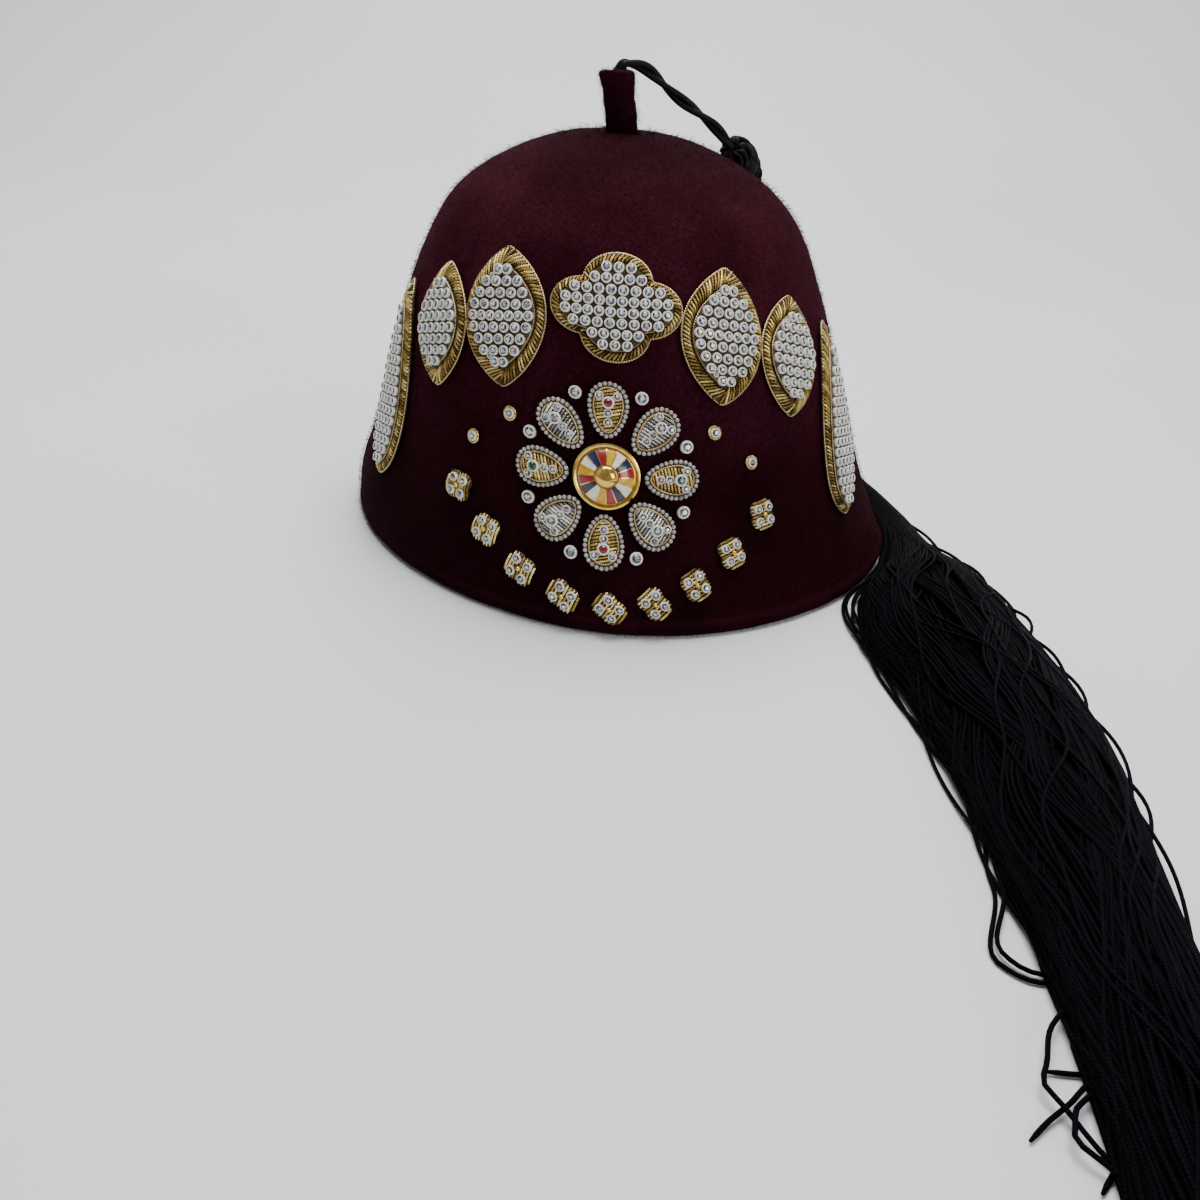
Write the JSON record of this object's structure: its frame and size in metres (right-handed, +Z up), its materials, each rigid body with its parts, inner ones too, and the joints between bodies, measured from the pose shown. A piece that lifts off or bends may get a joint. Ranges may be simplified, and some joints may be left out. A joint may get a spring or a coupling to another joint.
{
  "type": "fez hat",
  "caption": "Stiff felt fez with a rolled rim and felt stem, jewelled garland, rosette and swag on its front, and a long cord tassel that lies beside it.",
  "frame": {"origin": "middle of the rim, on the surface that the hat stands on", "axes": "+Z up through the crown, -Y towards the front with the decoration, +X towards the side where the tassel lies"},
  "size_m": [0.2244, 0.4474, 0.1498],
  "materials": {
    "wool_felt": "dark maroon wool felt with a short nap",
    "tassel_cord": "black twisted satin cord",
    "gold_bullion": "gold bullion embroidery, satin coils of fine wire",
    "silver_bullion": "silver bullion embroidery, satin coils of fine wire",
    "gold_metal": "polished gilt metal with coloured enamel",
    "crystal": "clear cut stone with a pale iridescent back, in a ring",
    "red_stone": "red cut stone in a ring",
    "green_stone": "green cut stone in a ring"
  },
  "bodies": {
    "root": {"felt_crown": "wool_felt", "crown_stem": "wool_felt", "tassel_cord": "tassel_cord", "tassel_head": "tassel_cord", "tassel_skirt": "tassel_cord", "rose_plaque": "gold_bullion", "left_inner_leaf": "gold_bullion", "left_outer_leaf": "gold_bullion", "left_drop": "gold_bullion", "right_inner_leaf": "gold_bullion", "right_outer_leaf": "gold_bullion", "right_drop": "gold_bullion", "petal_1": "gold_bullion", "petal_2": "silver_bullion", "petal_3": "gold_bullion", "petal_4": "silver_bullion", "petal_5": "gold_bullion", "petal_6": "silver_bullion", "petal_7": "gold_bullion", "petal_8": "silver_bullion", "rosette_boss": "gold_metal", "petal_stone_1": "red_stone", "petal_stone_2": "crystal", "petal_stone_3": "green_stone", "petal_stone_4": "crystal", "petal_stone_5": "red_stone", "petal_stone_6": "crystal", "petal_stone_7": "green_stone", "petal_stone_8": "crystal", "tip_stone_1": "crystal", "tip_stone_2": "crystal", "tip_stone_3": "crystal", "tip_stone_4": "crystal", "tip_stone_5": "crystal", "tip_stone_6": "crystal", "tip_stone_7": "crystal", "tip_stone_8": "crystal", "left_dot_stone_1": "crystal", "left_dot_stone_2": "crystal", "right_dot_stone_1": "crystal", "right_dot_stone_2": "crystal", "middle_cluster": "gold_bullion", "left_cluster_1": "gold_bullion", "left_cluster_2": "gold_bullion", "left_cluster_3": "gold_bullion", "left_cluster_4": "gold_bullion", "right_cluster_1": "gold_bullion", "right_cluster_2": "gold_bullion", "right_cluster_3": "gold_bullion", "right_cluster_4": "gold_bullion"}
  },
  "joints": []
}
